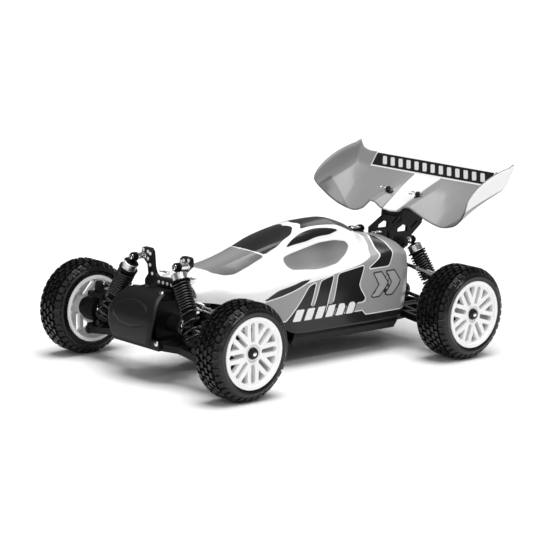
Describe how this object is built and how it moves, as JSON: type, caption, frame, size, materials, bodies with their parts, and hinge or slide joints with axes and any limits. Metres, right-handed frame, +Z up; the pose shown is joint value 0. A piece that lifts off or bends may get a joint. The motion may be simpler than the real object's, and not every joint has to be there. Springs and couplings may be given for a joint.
{
  "type": "rc buggy",
  "caption": "Radio-controlled off-road buggy with sprung double-wishbone suspension, steering, shaft drive to every wheel, a thin body shell and a tall rear wing.",
  "frame": {"origin": "middle of the bounding box, on the plane the tyres stand on", "axes": "+X forward towards the bumper, +Y to the car's left, +Z up"},
  "size_m": [0.387, 0.2528, 0.1764],
  "materials": {
    "black_plastic": "satin moulded",
    "body_white": "gloss painted",
    "wing_grey": "gloss painted",
    "rim_white": "gloss moulded",
    "tyre_rubber": "moulded tread",
    "steel": "turned",
    "spring_black": "gloss coated",
    "motor_can": "anodised",
    "gear_brass": "machined"
  },
  "bodies": {
    "chassis": {"chassis_tub": "black_plastic", "front_bumper": "black_plastic", "gear_cases": "black_plastic", "front_shock_tower": "black_plastic", "rear_shock_tower": "black_plastic", "body_shell": "body_white", "wing_mount": "black_plastic", "wing": "wing_grey", "motor": "motor_can", "electronics": "black_plastic"},
    "drag_link": {"drag_link": "steel"},
    "steering_crank": {"steering_crank": "black_plastic"},
    "front_arm_left": {"front_arm_left": "black_plastic"},
    "front_hub_left": {"front_c_hub_left": "black_plastic"},
    "front_link_left": {"front_link_left": "steel"},
    "front_shock_left": {"front_shock_body_left": "black_plastic", "front_spring_left": "spring_black"},
    "front_shock_shaft_left": {"front_shock_shaft_left": "steel"},
    "front_wheel_left": {"front_axle_left": "steel", "front_rim_left": "rim_white", "front_tyre_left": "tyre_rubber"},
    "front_driveshaft_left": {"front_driveshaft_left": "steel"},
    "front_knuckle_left": {"front_knuckle_left": "black_plastic"},
    "tie_rod_left": {"tie_rod_left": "steel"},
    "rear_arm_left": {"rear_arm_left": "black_plastic"},
    "rear_hub_left": {"rear_hub_left": "black_plastic"},
    "rear_link_left": {"rear_link_left": "steel"},
    "rear_shock_left": {"rear_shock_body_left": "black_plastic", "rear_spring_left": "spring_black"},
    "rear_shock_shaft_left": {"rear_shock_shaft_left": "steel"},
    "rear_wheel_left": {"rear_axle_left": "steel", "rear_rim_left": "rim_white", "rear_tyre_left": "tyre_rubber"},
    "rear_driveshaft_left": {"rear_driveshaft_left": "steel"},
    "front_arm_right": {"front_arm_right": "black_plastic"},
    "front_hub_right": {"front_c_hub_right": "black_plastic"},
    "front_link_right": {"front_link_right": "steel"},
    "front_shock_right": {"front_shock_body_right": "black_plastic", "front_spring_right": "spring_black"},
    "front_shock_shaft_right": {"front_shock_shaft_right": "steel"},
    "front_wheel_right": {"front_axle_right": "steel", "front_rim_right": "rim_white", "front_tyre_right": "tyre_rubber"},
    "front_driveshaft_right": {"front_driveshaft_right": "steel"},
    "front_knuckle_right": {"front_knuckle_right": "black_plastic"},
    "tie_rod_right": {"tie_rod_right": "steel"},
    "rear_arm_right": {"rear_arm_right": "black_plastic"},
    "rear_hub_right": {"rear_hub_right": "black_plastic"},
    "rear_link_right": {"rear_link_right": "steel"},
    "rear_shock_right": {"rear_shock_body_right": "black_plastic", "rear_spring_right": "spring_black"},
    "rear_shock_shaft_right": {"rear_shock_shaft_right": "steel"},
    "rear_wheel_right": {"rear_axle_right": "steel", "rear_rim_right": "rim_white", "rear_tyre_right": "tyre_rubber"},
    "rear_driveshaft_right": {"rear_driveshaft_right": "steel"},
    "front_diff": {"front_diff": "steel"},
    "rear_diff": {"rear_diff": "steel"},
    "centre_shaft": {"centre_shaft": "steel"},
    "motor_pinion": {"motor_pinion": "gear_brass"}
  },
  "joints": [
    {"name": "drag_link_slide", "type": "slide", "parent": "chassis", "child": "drag_link", "axis": [0, 1, 0], "range_m": [-0.00781, 0.00781]},
    {"name": "steering_crank_turn", "type": "hinge", "parent": "chassis", "child": "steering_crank", "pos_m": [0.1115, 0.014, 0.0535], "axis": [0, 0, 1], "range_deg": [-22.56, 22.56]},
    {"name": "front_arm_left_swing", "type": "hinge", "parent": "chassis", "child": "front_arm_left", "pos_m": [0.1495, 0.026, 0.034], "axis": [1, 0, 0], "range_deg": [-8, 12], "stiffness_Nm_per_rad": 2, "springref_deg": -6.88},
    {"name": "front_hub_left_tilt", "type": "hinge", "parent": "front_arm_left", "child": "front_hub_left", "pos_m": [0.1495, 0.086, 0.027], "axis": [1, 0, 0], "range_deg": [-12.1, 8.1]},
    {"name": "front_link_left_swing", "type": "hinge", "parent": "chassis", "child": "front_link_left", "pos_m": [0.1495, 0.024, 0.0745], "axis": [1, 0, 0], "range_deg": [-8.1, 12.1]},
    {"name": "front_shock_left_swing", "type": "hinge", "parent": "chassis", "child": "front_shock_left", "pos_m": [0.1563, 0.03, 0.1028], "axis": [1, 0, 0], "range_deg": [-1.85, 2.73]},
    {"name": "front_shock_shaft_left_slide", "type": "slide", "parent": "front_shock_left", "child": "front_shock_shaft_left", "axis": [0.0752, 0.4907, -0.8681], "range_m": [-0.00807, 0.00541], "deforming": ["front_spring_left"]},
    {"name": "front_driveshaft_left_spin", "type": "hinge", "parent": "front_arm_left", "child": "front_driveshaft_left", "pos_m": [0.1495, 0.03, 0.0505], "axis": [0, 0.9933, -0.1159], "continuous": true},
    {"name": "front_knuckle_left_steer", "type": "hinge", "parent": "front_hub_left", "child": "front_knuckle_left", "pos_m": [0.1495, 0.09, 0.0435], "axis": [0, 0, 1], "range_deg": [-25, 25]},
    {"name": "tie_rod_left_swing", "type": "hinge", "parent": "drag_link", "child": "tie_rod_left", "pos_m": [0.1315, 0.03, 0.063], "axis": [1, 0, 0], "range_deg": [-8.1, 12.1]},
    {"name": "front_wheel_left_spin", "type": "hinge", "parent": "front_knuckle_left", "child": "front_wheel_left", "pos_m": [0.1495, 0.09, 0.0435], "axis": [0, 1, 0], "continuous": true},
    {"name": "rear_arm_left_swing", "type": "hinge", "parent": "chassis", "child": "rear_arm_left", "pos_m": [-0.1255, 0.026, 0.034], "axis": [1, 0, 0], "range_deg": [-8, 12], "stiffness_Nm_per_rad": 2, "springref_deg": -8.02},
    {"name": "rear_hub_left_tilt", "type": "hinge", "parent": "rear_arm_left", "child": "rear_hub_left", "pos_m": [-0.1255, 0.086, 0.027], "axis": [1, 0, 0], "range_deg": [-12.1, 8.1]},
    {"name": "rear_link_left_swing", "type": "hinge", "parent": "chassis", "child": "rear_link_left", "pos_m": [-0.1255, 0.018, 0.0795], "axis": [1, 0, 0], "range_deg": [-8.1, 12.1]},
    {"name": "rear_shock_left_swing", "type": "hinge", "parent": "chassis", "child": "rear_shock_left", "pos_m": [-0.128, 0.035, 0.1005], "axis": [1, 0, 0], "range_deg": [-1.11, 1.61]},
    {"name": "rear_shock_shaft_left_slide", "type": "slide", "parent": "rear_shock_left", "child": "rear_shock_shaft_left", "axis": [-0.2238, 0.4327, -0.8733], "range_m": [-0.00824, 0.00553], "deforming": ["rear_spring_left"]},
    {"name": "rear_driveshaft_left_spin", "type": "hinge", "parent": "rear_arm_left", "child": "rear_driveshaft_left", "pos_m": [-0.1255, 0.028, 0.0505], "axis": [0, 0.9933, -0.1159], "continuous": true},
    {"name": "rear_wheel_left_spin", "type": "hinge", "parent": "rear_hub_left", "child": "rear_wheel_left", "pos_m": [-0.1255, 0.088, 0.0435], "axis": [0, 1, 0], "continuous": true},
    {"name": "front_arm_right_swing", "type": "hinge", "parent": "chassis", "child": "front_arm_right", "pos_m": [0.1495, -0.026, 0.034], "axis": [-1, 0, 0], "range_deg": [-8, 12], "stiffness_Nm_per_rad": 2, "springref_deg": -6.88},
    {"name": "front_hub_right_tilt", "type": "hinge", "parent": "front_arm_right", "child": "front_hub_right", "pos_m": [0.1495, -0.086, 0.027], "axis": [-1, 0, 0], "range_deg": [-12.1, 8.1]},
    {"name": "front_link_right_swing", "type": "hinge", "parent": "chassis", "child": "front_link_right", "pos_m": [0.1495, -0.024, 0.0745], "axis": [-1, 0, 0], "range_deg": [-8.1, 12.1]},
    {"name": "front_shock_right_swing", "type": "hinge", "parent": "chassis", "child": "front_shock_right", "pos_m": [0.1563, -0.03, 0.1028], "axis": [-1, 0, 0], "range_deg": [-1.85, 2.73]},
    {"name": "front_shock_shaft_right_slide", "type": "slide", "parent": "front_shock_right", "child": "front_shock_shaft_right", "axis": [0.0752, -0.4907, -0.8681], "range_m": [-0.00807, 0.00541], "deforming": ["front_spring_right"]},
    {"name": "front_driveshaft_right_spin", "type": "hinge", "parent": "front_arm_right", "child": "front_driveshaft_right", "pos_m": [0.1495, -0.03, 0.0505], "axis": [0, 0.9933, 0.1159], "continuous": true},
    {"name": "front_knuckle_right_steer", "type": "hinge", "parent": "front_hub_right", "child": "front_knuckle_right", "pos_m": [0.1495, -0.09, 0.0435], "axis": [0, 0, 1], "range_deg": [-25, 25]},
    {"name": "tie_rod_right_swing", "type": "hinge", "parent": "drag_link", "child": "tie_rod_right", "pos_m": [0.1315, -0.03, 0.063], "axis": [-1, 0, 0], "range_deg": [-8.1, 12.1]},
    {"name": "front_wheel_right_spin", "type": "hinge", "parent": "front_knuckle_right", "child": "front_wheel_right", "pos_m": [0.1495, -0.09, 0.0435], "axis": [0, 1, 0], "continuous": true},
    {"name": "rear_arm_right_swing", "type": "hinge", "parent": "chassis", "child": "rear_arm_right", "pos_m": [-0.1255, -0.026, 0.034], "axis": [-1, 0, 0], "range_deg": [-8, 12], "stiffness_Nm_per_rad": 2, "springref_deg": -8.02},
    {"name": "rear_hub_right_tilt", "type": "hinge", "parent": "rear_arm_right", "child": "rear_hub_right", "pos_m": [-0.1255, -0.086, 0.027], "axis": [-1, 0, 0], "range_deg": [-12.1, 8.1]},
    {"name": "rear_link_right_swing", "type": "hinge", "parent": "chassis", "child": "rear_link_right", "pos_m": [-0.1255, -0.018, 0.0795], "axis": [-1, 0, 0], "range_deg": [-8.1, 12.1]},
    {"name": "rear_shock_right_swing", "type": "hinge", "parent": "chassis", "child": "rear_shock_right", "pos_m": [-0.128, -0.035, 0.1005], "axis": [-1, 0, 0], "range_deg": [-1.11, 1.61]},
    {"name": "rear_shock_shaft_right_slide", "type": "slide", "parent": "rear_shock_right", "child": "rear_shock_shaft_right", "axis": [-0.2238, -0.4327, -0.8733], "range_m": [-0.00824, 0.00553], "deforming": ["rear_spring_right"]},
    {"name": "rear_driveshaft_right_spin", "type": "hinge", "parent": "rear_arm_right", "child": "rear_driveshaft_right", "pos_m": [-0.1255, -0.028, 0.0505], "axis": [0, 0.9933, 0.1159], "continuous": true},
    {"name": "rear_wheel_right_spin", "type": "hinge", "parent": "rear_hub_right", "child": "rear_wheel_right", "pos_m": [-0.1255, -0.088, 0.0435], "axis": [0, 1, 0], "continuous": true},
    {"name": "front_diff_spin", "type": "hinge", "parent": "chassis", "child": "front_diff", "pos_m": [0.1495, 0, 0.0505], "axis": [0, 1, 0], "continuous": true},
    {"name": "rear_diff_spin", "type": "hinge", "parent": "chassis", "child": "rear_diff", "pos_m": [-0.1255, 0, 0.0505], "axis": [0, 1, 0], "continuous": true},
    {"name": "centre_shaft_spin", "type": "hinge", "parent": "chassis", "child": "centre_shaft", "pos_m": [0.012, 0, 0.0505], "axis": [1, 0, 0], "continuous": true},
    {"name": "motor_pinion_spin", "type": "hinge", "parent": "chassis", "child": "motor_pinion", "pos_m": [-0.055, 0.0265, 0.039], "axis": [1, 0, 0], "continuous": true}
  ],
  "couplings": [
    {"joint": "drag_link_slide", "follows": "front_knuckle_left_steer", "m_per_rad": -0.017434},
    {"joint": "steering_crank_turn", "follows": "front_knuckle_left_steer", "ratio": -0.89423},
    {"joint": "front_hub_left_tilt", "follows": "front_arm_left_swing", "ratio": -1},
    {"joint": "front_link_left_swing", "follows": "front_arm_left_swing", "ratio": 1},
    {"joint": "front_shock_left_swing", "follows": "front_arm_left_swing", "ratio": 0.21887},
    {"joint": "front_shock_shaft_left_slide", "follows": "front_arm_left_swing", "m_per_rad": -0.038035},
    {"joint": "tie_rod_left_swing", "follows": "front_arm_left_swing", "ratio": 1},
    {"joint": "front_wheel_left_spin", "follows": "rear_wheel_left_spin", "ratio": 1},
    {"joint": "front_driveshaft_left_spin", "follows": "rear_wheel_left_spin", "ratio": 1},
    {"joint": "rear_hub_left_tilt", "follows": "rear_arm_left_swing", "ratio": -1},
    {"joint": "rear_link_left_swing", "follows": "rear_arm_left_swing", "ratio": 1},
    {"joint": "rear_shock_left_swing", "follows": "rear_arm_left_swing", "ratio": 0.12595},
    {"joint": "rear_shock_shaft_left_slide", "follows": "rear_arm_left_swing", "m_per_rad": -0.03888},
    {"joint": "rear_driveshaft_left_spin", "follows": "rear_wheel_left_spin", "ratio": 1},
    {"joint": "front_hub_right_tilt", "follows": "front_arm_right_swing", "ratio": -1},
    {"joint": "front_link_right_swing", "follows": "front_arm_right_swing", "ratio": 1},
    {"joint": "front_shock_right_swing", "follows": "front_arm_right_swing", "ratio": 0.21887},
    {"joint": "front_shock_shaft_right_slide", "follows": "front_arm_right_swing", "m_per_rad": -0.038035},
    {"joint": "front_knuckle_right_steer", "follows": "front_knuckle_left_steer", "ratio": 1},
    {"joint": "tie_rod_right_swing", "follows": "front_arm_right_swing", "ratio": 1},
    {"joint": "front_wheel_right_spin", "follows": "rear_wheel_left_spin", "ratio": 1},
    {"joint": "front_driveshaft_right_spin", "follows": "rear_wheel_left_spin", "ratio": 1},
    {"joint": "rear_hub_right_tilt", "follows": "rear_arm_right_swing", "ratio": -1},
    {"joint": "rear_link_right_swing", "follows": "rear_arm_right_swing", "ratio": 1},
    {"joint": "rear_shock_right_swing", "follows": "rear_arm_right_swing", "ratio": 0.12595},
    {"joint": "rear_shock_shaft_right_slide", "follows": "rear_arm_right_swing", "m_per_rad": -0.03888},
    {"joint": "rear_wheel_right_spin", "follows": "rear_wheel_left_spin", "ratio": 1},
    {"joint": "rear_driveshaft_right_spin", "follows": "rear_wheel_left_spin", "ratio": 1},
    {"joint": "front_diff_spin", "follows": "rear_wheel_left_spin", "ratio": 1},
    {"joint": "rear_diff_spin", "follows": "rear_wheel_left_spin", "ratio": 1},
    {"joint": "centre_shaft_spin", "follows": "rear_wheel_left_spin", "ratio": -3},
    {"joint": "motor_pinion_spin", "follows": "rear_wheel_left_spin", "ratio": 11}
  ]
}
